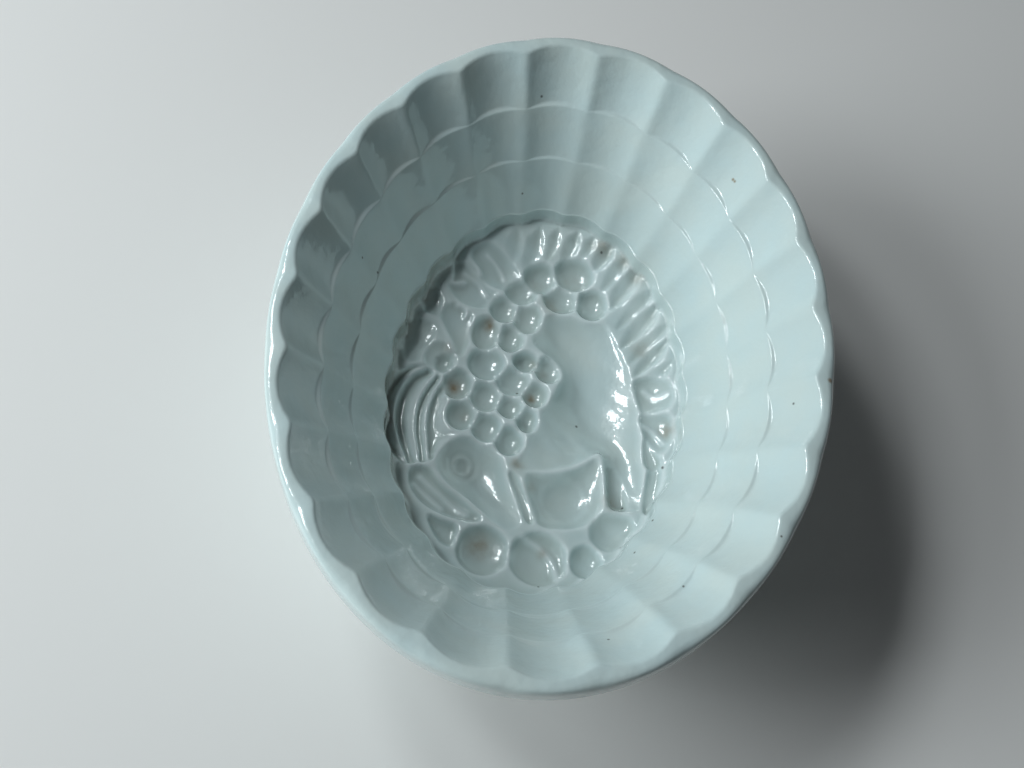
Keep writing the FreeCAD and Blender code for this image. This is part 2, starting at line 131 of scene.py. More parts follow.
# Fruit and leaves with an outline of their own: depth, how far the wall reaches in, how much
# of the depth lies in a wide shallow bowl, and the points of a smooth closed outline.
OUTLINED = {
    "gourd": (6.4, 1.0, 0.95, [
        (-2.2, -21.2), (-1.0, -18.6), (0.4, -12.4), (1.8, -6.0), (4.2, -0.4), (6.6, 5.4), (6.4, 11.2),
        (2.0, 15.0), (-2.4, 18.6), (-1.4, 25.0), (2.0, 28.4), (6.8, 28.6), (11.4, 27.8), (16.4, 28.0),
        (19.2, 25.4), (22.0, 20.6), (24.8, 15.4), (27.0, 10.2), (28.8, 5.2), (29.6, 0.2), (30.8, -4.4),
        (32.2, -12.0), (33.0, -20.0), (33.2, -26.2), (30.2, -27.8), (25.6, -28.4), (24.0, -25.6),
        (22.8, -18.6), (21.6, -12.8), (19.4, -12.2), (16.0, -15.4), (11.4, -18.4), (6.2, -20.2),
        (1.6, -21.2),
    ]),
    "stalk": (3.4, 1.6, 0.2, [
        (23.0, -15.4), (25.0, -14.6), (27.0, -15.2), (28.6, -18.0), (29.2, -22.0), (29.4, -27.2),
        (25.8, -27.8), (24.4, -25.0), (23.4, -19.6),
    ]),
    "apple": (4.6, 1.0, 0.95, [
        (1.8, -23.0), (6.2, -22.2), (11.4, -20.6), (16.0, -17.8), (19.4, -14.6), (21.2, -17.4), (22.2, -22.6),
        (22.4, -28.0), (20.2, -33.0), (15.2, -35.8), (9.6, -36.8), (6.0, -36.0), (3.6, -31.2), (1.8, -26.8),
    ]),
    "pear": (5.2, 1.0, 0.95, [
        (-23.4, -22.0), (-21.2, -17.6), (-18.0, -15.8), (-14.0, -15.5), (-9.8, -16.2), (-7.2, -18.6),
        (-5.4, -22.0), (-3.4, -26.4), (-1.0, -30.6), (0.8, -34.8), (0.6, -38.0), (-2.0, -39.6),
        (-5.0, -38.6), (-8.6, -36.0), (-12.6, -33.4), (-17.2, -31.0), (-20.4, -28.6), (-22.8, -25.6),
    ]),
    "stem_gap": (1.7, 0.9, 0.3, [
        (-3.4, -23.4), (-1.4, -24.6), (1.8, -29.4), (4.4, -34.6), (4.2, -36.6), (2.9, -35.8),
        (-0.2, -30.4), (-2.4, -26.2),
    ]),
    "near_leaf": (2.8, 1.4, 0.6, [
        (-29.8, -27.4), (-27.2, -26.4), (-25.0, -27.0), (-22.6, -29.4), (-19.4, -31.6), (-15.4, -33.6),
        (-11.6, -36.2), (-9.6, -38.0), (-11.4, -39.2), (-15.6, -39.0), (-19.8, -38.4), (-23.8, -37.0),
        (-27.2, -34.6), (-29.6, -31.0),
    ]),
    "near_berry": (2.4, 1.4, 0.5, [
        (-22.8, -40.2), (-18.8, -40.8), (-15.8, -41.4), (-15.0, -43.8), (-15.6, -46.8), (-18.2, -46.6),
        (-21.0, -43.8),
    ]),
    "side_fig": (2.6, 1.8, 0.8, [
        (22.4, -31.0), (26.6, -29.8), (30.6, -30.2), (31.6, -33.6), (29.0, -38.6), (25.0, -40.6),
        (21.4, -38.4), (20.6, -34.4),
    ]),
    "right_leaf_1": (2.6, 1.6, 0.7, [
        (27.6, 11.4), (31.6, 13.6), (36.2, 13.0), (38.4, 9.4), (38.0, 5.4), (34.6, 3.2), (31.0, 2.6),
        (29.4, 5.6),
    ]),
    "right_leaf_2": (2.6, 1.6, 0.7, [
        (30.4, 1.0), (34.4, 2.4), (38.2, 1.6), (39.4, -3.0), (38.2, -7.6), (36.0, -9.6), (32.6, -5.0),
    ]),
    "right_leaf_3": (2.2, 1.2, 0.4, [
        (32.4, -5.4), (34.8, -8.0), (37.2, -12.0), (36.0, -14.6), (33.2, -13.0),
    ]),
    "right_leaf_4": (1.6, 1.2, 0.3, [
        (34.8, -14.6), (37.4, -14.2), (37.4, -20.4), (36.0, -27.2), (34.4, -27.0), (34.2, -20.6),
    ]),
    "left_leaf_1": (1.7, 1.4, 0.7, [
        (-25.4, 44.4), (-21.4, 46.6), (-16.6, 45.4), (-11.6, 41.4), (-8.8, 36.8), (-12.6, 33.8),
        (-17.8, 34.4), (-22.2, 37.0), (-25.0, 40.4),
    ]),
    "left_leaf_2": (1.7, 1.4, 0.7, [
        (-30.0, 37.8), (-26.6, 38.8), (-22.8, 36.0), (-18.4, 33.2), (-15.0, 31.0), (-17.6, 27.0),
        (-23.2, 26.4), (-27.8, 29.4), (-29.8, 33.4),
    ]),
    "left_leaf_3": (1.7, 1.4, 0.7, [
        (-28.6, 25.2), (-25.4, 25.6), (-21.8, 23.6), (-20.8, 19.4), (-21.2, 14.0), (-22.6, 9.4),
        (-24.8, 12.2), (-27.6, 17.0), (-29.8, 20.8),
    ]),
    "left_leaf_4": (1.1, 1.4, 0.7, [
        (-36.4, 27.0), (-33.8, 29.0), (-31.2, 27.4), (-30.6, 23.4), (-31.8, 20.4), (-35.2, 20.8),
        (-36.8, 23.6),
    ]),
    "left_leaf_5": (1.1, 1.4, 0.7, [
        (-38.2, 17.0), (-35.0, 18.4), (-31.4, 17.0), (-31.2, 13.0), (-33.0, 9.0), (-33.8, 5.6),
        (-37.0, 5.0), (-38.8, 10.0),
    ]),
}

# Slices of melon lie between these ridges. Each is deep near its left ridge and rises to the
# right, and that rising side, turned to the lamps, gets painted light. The depths belong to the slices
# between one ridge and the next.
MELON_RIDGES = [
    [
        (-31.8, 4.6), (-36.4, 2.6), (-39.8, -2.4), (-41.2, -9.0), (-40.8, -15.0), (-38.0, -21.6),
        (-32.4, -26.6),
    ],
    [
        (-31.0, 3.8), (-34.6, 1.0), (-37.0, -4.0), (-37.6, -9.5), (-36.8, -14.8), (-34.6, -20.0),
        (-31.2, -25.8),
    ],
    [
        (-27.8, 2.8), (-29.8, -1.5), (-31.2, -6.0), (-31.5, -11.0), (-30.8, -16.0), (-29.2, -21.0),
        (-28.2, -25.0),
    ],
    [(-26.0, 1.0), (-27.6, -3.5), (-28.5, -8.5), (-28.2, -14.0), (-26.8, -19.5), (-25.6, -24.0)],
    [
        (-24.6, -3.8), (-23.6, -5.2), (-23.4, -10.0), (-21.6, -13.6), (-18.6, -14.6), (-21.6, -17.6),
        (-24.2, -21.6),
    ],
]
MELON_DEPTHS = [1.8, 3.0, 2.6, 2.6]
MELON_SKEW = 0.55
MELON_FULL_WIDTH = 2.5
# Painted light on each slice's rising side: how strong it is, where across the slice it starts, and how far
# it runs.
MELON_PAINTED_LIGHT = 0.7
MELON_LIGHT_START = 0.35
MELON_LIGHT_RUN = 0.3

# The fan of leaves: root, tip, half width and depth of each.
FAN = [
    ((28.6, 7.6), (37.4, 19.4), 2.6, 1.4), ((26.8, 12.6), (35.8, 26.6), 2.6, 2.2),
    ((25.2, 17.0), (35.2, 31.4), 2.6, 1.3), ((22.4, 21.4), (32.2, 38.2), 3.2, 2.2),
    ((20.4, 27.4), (30.4, 42.8), 2.6, 1.4), ((17.0, 32.4), (25.2, 49.2), 3.2, 2.2),
    ((14.4, 38.6), (21.0, 51.4), 2.5, 1.4), ((10.6, 43.6), (16.0, 54.8), 2.8, 2.2),
    ((6.6, 47.0), (10.4, 56.0), 2.3, 1.3), ((2.0, 44.4), (5.4, 57.0), 2.7, 1.9),
    ((-2.6, 45.6), (-0.6, 56.6), 2.2, 1.2), ((-8.0, 39.6), (-6.0, 56.0), 3.1, 1.6),
    ((-12.8, 40.6), (-12.6, 54.0), 2.8, 1.0),
]

# Each leaf is folded along its length, to one side of its middle. It widens and narrows over
# these shares of its length, by these powers. Its depth grows from root to tip, and over this
# share of its length a gentle slope rises to the tip. The last value keeps its width above zero.
FAN_FOLD = 0.5
FAN_LEAN = 0.25
FAN_WIDENS = (0.5, 0.6)
FAN_NARROWS = (0.35, 0.7)
FAN_ROUNDNESS = 0.6
FAN_ROOT_DEPTH = 0.25
FAN_SLOPE = 0.3
FAN_TIP_DEPTH = 0.15
THINNEST_LEAF = 1e-6

# Thin raised lines, such as the curled edges of leaves: half width, height and points.
CURLS = [
    (0.9, 1.3, [(-23.0, 47.0), (-25.5, 44.0), (-25.0, 41.0), (-22.0, 38.5), (-21.0, 37.0)]),
    (0.9, 1.3, [(-30.0, 38.0), (-29.5, 35.0), (-28.5, 32.5), (-25.4, 33.2)]),
    (0.8, 1.1, [(-31.2, 31.0), (-30.0, 28.5), (-28.5, 26.0)]),
    (0.6, 0.5, [(-20.0, 43.4), (-16.4, 41.0), (-13.6, 37.2)]),
    (0.6, 0.5, [(-25.4, 36.0), (-21.0, 34.0), (-18.0, 30.8)]),
    (1.0, 1.3, [(-37.0, 24.0), (-35.5, 20.4), (-31.0, 19.5), (-28.5, 16.5), (-26.0, 13.0), (-25.5, 11.0)]),
    (0.7, 0.9, [(-25.6, 25.6), (-24.0, 25.2), (-22.8, 24.0), (-23.0, 22.4)]),
    (0.7, 0.6, [(-27.0, -29.0), (-22.0, -32.2), (-17.0, -35.6), (-13.0, -37.4)]),
    (0.7, 0.6, [(-28.4, -31.4), (-24.0, -34.2), (-20.0, -36.8)]),
    (0.8, 0.8, [(2.6, -41.0), (7.6, -42.6), (11.6, -46.0), (13.4, -51.0)]),
    (0.8, 0.5, [(31.0, 9.8), (34.0, 8.4), (37.0, 9.6)]),
    (0.8, 0.5, [(31.8, -1.4), (34.8, -2.6), (37.6, -6.0)]),
]
# Painted light along the raised lines, partly the glaze running thin on them: its strength.
CURL_PAINTED_LIGHT = 0.6

# Hollows reach this far past their outlines, so that thin ridges are left between them.
GROWTH = 0.45

# Rings on the pear's eye and the soft ring in the apple: centre, radius, half width, height.
RINGS = [(-16.4, -22.6, 2.4, 0.45, 0.5), (-16.4, -22.6, 4.6, 0.5, 0.16), (12.6, -27.6, 6.2, 0.9, 0.22)]

# Smooth lines have this many pieces from one of their points to the next.
CURVE_PIECES = 6

# Steps from a point of the lattice to its neighbours, and how often the relief is softened.
LATTICE_STEPS = [(1, 0), (-1, 0), (0, 1), (0, -1), (1, -1), (-1, 1)]
SOFTENING_PASSES = 5

# A bowl has the shape of a soap film that is pushed down inside its outline. It is worked out in
# at most this many passes, to this accuracy, and its shape is raised to this power.
FILM_PASSES = 600
FILM_ERROR = 1e-8
FILM_POWER = 0.85

# Bowls that are deepest along a line instead of in their middle.
KEELS = {
    "gourd": [
        (4.0, 24.0), (7.0, 15.0), (11.0, 5.0), (17.0, -3.0), (24.0, -9.0), (27.6, -17.0), (27.8, -24.0),
    ],
    "pear": [(-16.4, -22.6), (-11.0, -25.0), (-6.0, -31.0)],
}
KEEL_HALF_WIDTH = 4.5
PUSH_BESIDE_KEEL = 0.12

# The floor's unevenness: how many waves, their length and how it spreads, the share of their
# sum that counts, and their height. It is in full from this distance off the basin's wall.
WAVES = 9
WAVE_LENGTH = 7.0
WAVE_SPREAD = (0.7, 1.6)
WAVE_SHARE = 0.25
WAVE_HEIGHT = 0.09
WAVE_SEED = 3
WAVE_START = 3.0

# Ridges are painted paler and hollows darker, partly for the glaze thinning and pooling and partly as
# painted light and shade. This many passes of smoothing give the level that a ridge or hollow is judged
# against, and this height counts in full.
LEVEL_PASSES = 40
FULL_TONE = 0.55

# Brown stains in the floor: centre, radius and strength.
STAINS = [
    (-16.0, 22.2, 1.6, 0.9), (0.3, 31.8, 3.0, 0.45), (1.5, 9.2, 1.8, 0.35), (-0.8, 1.6, 1.5, 0.9),
    (-22.5, 0.5, 2.2, 0.95), (-26.2, 11.2, 1.4, 0.4), (-8.2, -45.0, 3.4, 0.7), (8.5, -43.8, 1.4, 0.5),
    (3.0, -26.0, 1.6, 0.3), (38.0, -2.0, 2.2, 0.6), (13.0, 53.0, 3.0, 0.5), (20.0, 50.0, 2.6, 0.4),
    (25.0, 45.0, 2.6, 0.4), (28.0, 22.0, 3.0, 0.35), (-1.4, 12.0, 1.4, 0.3), (-18.4, -8.0, 1.8, 0.3),
    (-2.0, -20.6, 2.0, 0.5), (25.2, -26.0, 2.6, 0.4), (6.4, 41.0, 3.4, 0.25), (-3.6, 38.6, 3.0, 0.25),
]

# Painted shade, with a painted dark brown reflection, lies at the foot of the basin's left wall, the side
# turned from the lamps.
# It starts, is full, begins to end, and ends at these angles in degrees. It covers the wall's lowest rings
# and fades out over the floor.
PAINTED_SHADE_SPREAD = (118.0, 150.0, 222.0, 262.0)
PAINTED_SHADE_RINGS = 5
PAINTED_SHADE_WIDTH = 2.2
PAINTED_SHADE_STRENGTH = 0.45

# Dark specks in the glaze: place and radius.
SPECKS = [
    (-4.8, 2.2, 14.7, 0.45), (-7.5, -6.7, 16.7, 0.4), (25.7, 6.6, 15.3, 0.55), (13.5, -3.0, 11.8, 0.45),
    (38.0, -13.7, 18.3, 0.5), (28.8, -26.4, 14.6, 0.45), (35.6, -32.7, 24.9, 0.4), (13.0, 51.6, 19.0, 0.5),
    (31.2, -43.8, 27.7, 0.4), (8.7, -54.0, 17.0, 0.4), (-13.7, 79.3, 49.8, 0.45), (-13.5, 59.6, 29.2, 0.35),
    (-49.1, 19.1, 36.9, 0.45), (-53.4, 18.5, 43.9, 0.4), (63.7, -5.6, 53.5, 0.4), (60.7, -45.8, 60.0, 0.35),
    (23.4, -75.8, 50.3, 0.4), (40.5, -58.5, 48.3, 0.35),
]

# Brown marks, a long one on the wall and a dot on the rim: place and radius.
MARKS = [(43.0, 61.9, 52.4, 0.5), (43.6, 61.4, 52.4, 0.5), (71.1, -0.4, 59.8, 0.8)]

# Specks and marks fade out between these shares of their radius. The last value is a share
# that lies outside every spot.
SPOT_EDGE = (0.4, 1.2)
SPOT_STRENGTH = 0.8
OUTSIDE_SPOTS = 9.0

# Colours of the glaze with its painted light and shade, its stains and its specks, as linear red, green and
# blue.
GLAZE_COOL = (0.585, 0.715, 0.715)
GLAZE_WARM = (0.61, 0.715, 0.695)
# Paler on ridges and darker in hollows: partly the glaze thinning and pooling, partly painted light and
# shade.
RIDGE_GLAZE_AND_LIGHT = (0.74, 0.84, 0.84)
POOLED_GLAZE_AND_SHADE = (0.42, 0.52, 0.49)
# The stain colour also paints the shade at the foot of the basin's left wall.
STAIN_AND_SHADE = (0.27, 0.19, 0.1)
SPECK = (0.06, 0.06, 0.05)

# Patterns in the glaze: how many fit into a metre, and their detail. Clouds mix its two whites,
# patches break up its stains and its painted shade, and ripples stand up from its surface by this depth in
# metres.
CLOUDS = (70.0, 4.0)
PATCHES = (420.0, 3.0)
RIPPLES = (190.0, 3.0)
RIPPLE_DEPTH = 0.0004
RIPPLE_STRENGTH = 0.6

# The range of the pattern that counts in the clouds and in the patches, and how brown the stains
# and the painted shade stay between the patches.
CLOUD_RANGE = (0.35, 0.65)
PATCH_RANGE = (0.3, 0.7)
BETWEEN_PATCHES = 0.45

# How far the highest ridge goes to its colour, and how far the deepest hollow goes to its own.
RIDGE_SHARE = 0.9
HOLLOW_SHARE = 0.8

# The camera's place, its turns in degrees and the length of its lens.
CAMERA_PLACE = (-28.4, -183.1, 370.7)
CAMERA_PITCH = 27.8
CAMERA_TILT = -3.5
CAMERA_ROLL = 9.3
LENS = 50.1

# Lamps: name, place in metres, width, height, power, and whether the glaze reflects them. The
# small panes give the window's two reflections, and the wide fill gives its soft daylight.
LAMPS = [
    ("near_pane", (-0.6, 0.06, 0.8), 0.17, 0.2, 1.8, True),
    ("far_pane", (-0.52, 0.38, 0.78), 0.17, 0.2, 1.8, True),
    ("fill", (-0.88, -0.22, 0.5), 0.5, 0.55, 8.0, False),
]
LAMP_AIM = (0.0, 0.0, 0.03)
DAYLIGHT = (0.9, 0.97, 1.0)
SKY = (0.9, 0.95, 1.0)
SKY_STRENGTH = 0.05

# The studio's floor: its colour and its size in metres.
FLOOR_COLOUR = (0.8, 0.79, 0.77)
FLOOR_SIZE = 6.0


def ridge_angles():
    """Space the ridges evenly round the mouth, as angles of its oval."""
    steps = MEASURING_STEPS * FLUTES
    middles = (np.arange(steps) + 0.5) * (2 * math.pi / steps)
    pace = np.hypot(MOUTH[0] * np.sin(middles), MOUTH[1] * np.cos(middles))
    run = np.concatenate([[0.0], np.cumsum(pace)])
    goals = run[-1] * np.arange(FLUTES + 1) / FLUTES
    return np.interp(goals, run, np.arange(steps + 1) * (2 * math.pi / steps))


def column_places():
    """Give each column its angle and its place across its flute, from -1 to 1."""
    ridges = ridge_angles()
    even = np.arange(COLUMNS_PER_FLUTE) / COLUMNS_PER_FLUTE
    crowded = even
    for waves, height in CROWDING:
        turn = 2 * math.pi * waves
        crowded = crowded - height * np.sin(turn * even) / turn
    angles = np.concatenate([ridges[k] + crowded * (ridges[k + 1] - ridges[k]) for k in range(FLUTES)])
    return angles, np.tile(2 * crowded - 1, FLUTES)


def flute_share(across, softness):
    """Give the share of a flute's depth across it, with its ridges rounded."""
    from_ridge = 1 - np.abs(across)
    plain = 1 - across ** 2
    rounded = softness + (1 - softness) / softness * from_ridge ** 2
    return np.where(from_ridge < softness, rounded, plain)


def smooth_step(share):
    """Go from 0 to 1 with a soft start and end."""
    share = np.clip(share, 0, 1)
    return share * share * (3 - 2 * share)


def hump(gap, width):
    """Fall smoothly from 1 where there is no gap, through 0.37 at the width, to nothing."""
    return np.exp(-(gap / width) ** 2)


def spread_share(places, spread):
    """Go from 0 to 1 and back over the directions of a spread, seen from the basin's middle.

    A spread starts, is full, begins to end, and ends at its four angles.
    """
    start, full, last, end = spread
    angle = np.degrees(np.arctan2(places[:, 1] / BASIN_HALF_LENGTH, places[:, 0] / BASIN_HALF_WIDTH))
    angle = np.where(angle < start, angle + 360, angle)
    return smooth_step((angle - start) / (full - start)) * smooth_step((end - angle) / (end - last))


def fan_rise(places):
    """Give how much the field rises under the fan of leaves at each place."""
    out = np.hypot(places[:, 0] / BASIN_HALF_WIDTH, places[:, 1] / BASIN_HALF_LENGTH)
    towards_wall = smooth_step((out - FAN_RISE_START) / (1 - FAN_RISE_START))
    return FAN_RISE * spread_share(places, FAN_SPREAD) * towards_wall


def section_points():
    """Place every stop of the section on every column: stops by columns by 3."""
    angles, across = column_places()
    stops = []
    for stop in SECTION:
        half_widths = np.array([stop.half_width, stop.half_length])
        ray = np.stack([np.cos(angles), np.sin(angles)], 1)
        out = ray / half_widths
        out /= np.linalg.norm(out, axis=1, keepdims=True)
        bulge = stop.depth * flute_share(across, stop.softness)
        places = ray * half_widths + out * bulge[:, None]
        stops.append(np.column_stack([places, np.full(len(places), stop.height)]))
    return np.array(stops)


def corner_arc(before, corner, after, radius):
    """Round one corner of every column by a short curve."""
    back = before - corner
    ahead = after - corner
    back_length = np.linalg.norm(back, axis=1, keepdims=True)
    ahead_length = np.linalg.norm(ahead, axis=1, keepdims=True)
    trim = np.minimum(radius, CORNER_SHARE * np.minimum(back_length, ahead_length))
    start = corner + back / back_length * trim
    end = corner + ahead / ahead_length * trim
    shares = np.linspace(0, 1, CORNER_STEPS + 1)
    return [(1 - t) ** 2 * start + 2 * t * (1 - t) * corner + t ** 2 * end for t in shares]


def wall_rings():
    """Sample the section with round corners, as rings from the recess to the basin's foot."""
    stops = section_points()
    rings = [stops[0]]
    steps = SECTION[0].steps
    for i in range(1, len(stops) - 1):
        arc = corner_arc(stops[i - 1], stops[i], stops[i + 1], SECTION[i].radius)
        last = rings[-1]
        rings += [last + (arc[0] - last) * k / steps for k in range(1, steps)]
        rings += arc
        steps = SECTION[i].steps
    last = rings[-1]
    rings += [last + (stops[-1] - last) * k / steps for k in range(1, steps + 1)]
    return np.array(rings)


def soft_waves(points):
    """Give a smooth unevenness between about -1 and 1."""
    random = np.random.RandomState(WAVE_SEED)
    total = np.zeros(len(points))
    for _ in range(WAVES):
        direction = random.normal(size=points.shape[1])
        direction /= np.linalg.norm(direction)
        length = WAVE_LENGTH * random.uniform(*WAVE_SPREAD)
        total += np.sin(points @ direction * (2 * math.pi / length) + random.uniform(0, 2 * math.pi))
    return WAVE_SHARE * total


def line_distance(places, line):
    """Measure how far each place lies from an open line."""
    nearest = np.full(len(places), np.inf)
    for start, end in zip(line, line[1:]):
        run = np.subtract(end, start)
        off = places - start
        along = np.clip(off @ run / (run @ run), 0, 1)
        gap = np.linalg.norm(off - along[:, None] * run, axis=1)
        nearest = np.minimum(nearest, gap)
    return nearest


def smooth_curve(points, closed=True):
    """Draw a smooth line through points, closed or open."""
    points = np.array(points, float)
    before = np.roll(points, 1, 0)
    after = np.roll(points, -1, 0)
    beyond = np.roll(points, -2, 0)
    if not closed:
        before[0] = points[0]
        beyond[-2] = points[-1]
    line = []
    for t in np.arange(CURVE_PIECES) / CURVE_PIECES:
        square = (2 * before - 5 * points + 4 * after - beyond) * t ** 2
        cube = (3 * points - before - 3 * after + beyond) * t ** 3
        line.append(0.5 * (2 * points + (after - before) * t + square + cube))
    line = np.stack(line, 1)
    if closed:
        return line.reshape(-1, 2)
    return np.concatenate([line[:-1].reshape(-1, 2), points[-1:]])


def inside_distance(places, line):
    """Measure how far each place lies inside a closed line. Outside, the distance is negative."""
    loop = np.concatenate([line, line[:1]])
    inside = np.zeros(len(places), bool)
    for (ax, ay), (bx, by) in zip(loop, loop[1:]):
        if ay != by:
            crosses = (ay > places[:, 1]) != (by > places[:, 1])
            inside ^= crosses & (places[:, 0] < ax + (places[:, 1] - ay) * (bx - ax) / (by - ay))
    nearest = line_distance(places, loop)
    return np.where(inside, nearest, -nearest)


def round_wall(distance, reach):
    """Fall from nothing to 1 along a quarter round."""
    share = np.clip(distance / reach, 0, 1)
    return np.sqrt(np.clip(1 - (1 - share) ** 2, 0, 1))


def membrane(keys, inside, push):
    """Push a soap film out of an outline, and give its shape with its highest point at 1.

    The film is worked out by conjugate gradients on the lattice. Its edge is held at 0.
    """
    index = {keys[point]: i for i, point in enumerate(inside)}
    count = len(inside)
    around = np.full((count, len(LATTICE_STEPS)), count)
    for (a, b), i in index.items():
        around[i] = [index.get((a + da, b + db), count) for da, db in LATTICE_STEPS]
    film = np.zeros(count)
    left = push.copy()
    step = left.copy()
    size = left @ left
    for _ in range(FILM_PASSES):
        pull = step - np.append(step, 0.0)[around].mean(axis=1)
        share = size / (step @ pull)
        film += share * step
        left -= share * pull
        last_size = size
        size = left @ left
        if size < FILM_ERROR * count:
            break
        step = left + size / last_size * step
    return film / film.max()


def melon(places):
    """Give the depth of the melon's slices, and the painted light on their rising sides."""
    sunk = np.zeros(len(places))
    painted_light = np.zeros(len(places))
    lines = [smooth_curve(points, closed=False) for points in MELON_RIDGES]
    for left, right, depth in zip(lines, lines[1:], MELON_DEPTHS):
        inside = inside_distance(places, np.concatenate([left, right[::-1]])) > 0
        from_left = line_distance(places[inside], left)
        from_right = line_distance(places[inside], right)
        across = from_left / (from_left + from_right)
        width = np.clip((from_left + from_right) / MELON_FULL_WIDTH, 0, 1)
        sunk[inside] = depth * width * np.sin(math.pi * across ** MELON_SKEW)
        # Painted light on the slice's rising side, which faces the lamps.
        painted_light[inside] = MELON_PAINTED_LIGHT * smooth_step((across - MELON_LIGHT_START) / MELON_LIGHT_RUN)
    return sunk, painted_light


def round_hollows(places):
    """Give how deep each place lies in the grapes and other round fruits."""
    sunk = np.zeros(len(places))
    ovals = [(*grape, GRAPE_DEPTH) for grape in GRAPES] + list(ROUND_FRUITS.values())
    for x, y, half_width, half_length, depth in ovals:
        across = (places[:, 0] - x) / (half_width + GROWTH)
        along = (places[:, 1] - y) / (half_length + GROWTH)
        sunk = np.maximum(sunk, depth * np.sqrt(np.clip(1 - np.hypot(across, along) ** 2, 0, 1)))
    return sunk


def outlined_hollows(keys, places):
    """Give how deep each place lies in the fruit and leaves that have an outline."""
    sunk = np.zeros(len(places))
    for name, (depth, reach, bowl, outline) in OUTLINED.items():
        line = smooth_curve(outline)
        boxed = (places > line.min(0) - GROWTH) & (places < line.max(0) + GROWTH)
        near = np.flatnonzero(np.all(boxed, axis=1))
        distance = inside_distance(places[near], line) + GROWTH
        inside = near[distance > 0]
        push = np.ones(len(inside))
        if name in KEELS:
            gap = line_distance(places[inside], smooth_curve(KEELS[name], closed=False))
            push = PUSH_BESIDE_KEEL + hump(gap, KEEL_HALF_WIDTH)
        film = membrane(keys, inside, push) ** FILM_POWER
        hollow = depth * ((1 - bowl) * round_wall(distance[distance > 0], reach) + bowl * film)
        sunk[inside] = np.maximum(sunk[inside], hollow)
    return sunk


def fan_hollows(places):
    """Give how deep each place lies in the fan of leaves."""
    sunk = np.zeros(len(places))
    for root, tip, half_width, depth in FAN:
        root = np.array(root)
        length = np.linalg.norm(np.array(tip) - root)
        along = (np.array(tip) - root) / length
        run = (places - root) @ along / length
        side = (places - root) @ np.array([along[1], -along[0]])
        edge = half_width * np.clip(run / FAN_WIDENS[0], 0, 1) ** FAN_WIDENS[1]
        edge *= np.clip((1 - run) / FAN_NARROWS[0], 0, 1) ** FAN_NARROWS[1]
        share = side / np.maximum(edge, THINNEST_LEAF)
        leaf = depth * np.clip(1 - share ** 2, 0, 1) ** FAN_ROUNDNESS
        leaf[(run <= 0) | (run >= 1)] = 0
        leaf *= 1 - FAN_FOLD * np.abs(share - FAN_LEAN)
        leaf *= FAN_ROOT_DEPTH + (1 - FAN_ROOT_DEPTH) * run
        leaf *= np.clip(FAN_TIP_DEPTH + (1 - run) / FAN_SLOPE, 0, 1)
        sunk = np.maximum(sunk, leaf)
    return sunk


def relief(keys, places):
    """Give how deep each place is sunk, 0 where nothing is, and how much painted light it gets on the melon's
    rising sides and along the raised lines.
    """
    sunk, painted_light = melon(places)
    for hollows in (round_hollows(places), outlined_hollows(keys, places), fan_hollows(places)):
        sunk = np.maximum(sunk, hollows)
    for half_width, height, points in CURLS:
        curl = hump(line_distance(places, smooth_curve(points, closed=False)), half_width)
        sunk -= np.minimum(height * curl, sunk)
        # Painted light along the raised line, partly the glaze running thin on it.
        painted_light += CURL_PAINTED_LIGHT * curl
    for x, y, radius, half_width, height in RINGS:
        off = np.hypot(places[:, 0] - x, places[:, 1] - y) - radius
        sunk -= height * hump(off, half_width) * (sunk > 0)
    return sunk, painted_light


def soften(heights, keys, passes):
    """Round off the relief as the glaze does: each place moves towards its neighbours."""
    index = {key: i for i, key in enumerate(keys)}
    around = []
    for a, b in keys:
        around.append([index.get((a + da, b + db), index[(a, b)]) for da, db in LATTICE_STEPS])
    around = np.array(around)
    for _ in range(passes):
        heights = 0.5 * heights + 0.5 * heights[around].mean(axis=1)
    return heights


def floor_heights(keys, places, depth_inside):
    """Shape the basin: a cove down from the rim, the field, and the fruit sunk into both.

    The heights come with a tone at each place, from -1 in hollows to 1 on ridges: partly the glaze's pooling,
    partly painted light and shade.
    """
    cove = (BASIN_HEIGHT - FIELD_HEIGHT) * (1 - round_wall(depth_inside, COVE_RUN))
    field = FIELD_HEIGHT + fan_rise(places)
    ground = np.maximum(field, FIELD_HEIGHT + cove)
    sunk, painted_light = relief(keys, places)
    heights = np.where(sunk > 0, np.minimum(field - sunk, ground), ground)
    heights = heights + WAVE_HEIGHT * soft_waves(places) * smooth_step(depth_inside / WAVE_START)
    heights = soften(heights, keys, SOFTENING_PASSES)
    # The tone: painted light on ridges and painted shade in hollows, partly the glaze's pooling, plus the
    # painted light on the melon and the raised lines.
    tone = (heights - soften(heights, keys, LEVEL_PASSES)) / FULL_TONE + painted_light
    return heights, np.clip(tone, -1, 1)


def stains_and_painted_shade(places, depth_inside):
    """Give how brown each place of the floor is, from 0 to 1: real stains, and painted shade at the foot of
    the left wall.
    """
    brown = np.zeros(len(places))
    for x, y, radius, strength in STAINS:
        gap = np.hypot(places[:, 0] - x, places[:, 1] - y)
        brown = np.maximum(brown, strength * hump(gap, radius))
    # Painted shade at the foot of the basin's left wall, fading out over the floor.
    painted_shade = PAINTED_SHADE_STRENGTH * spread_share(places, PAINTED_SHADE_SPREAD) * hump(depth_inside, PAINTED_SHADE_WIDTH)
    return np.maximum(brown, painted_shade)


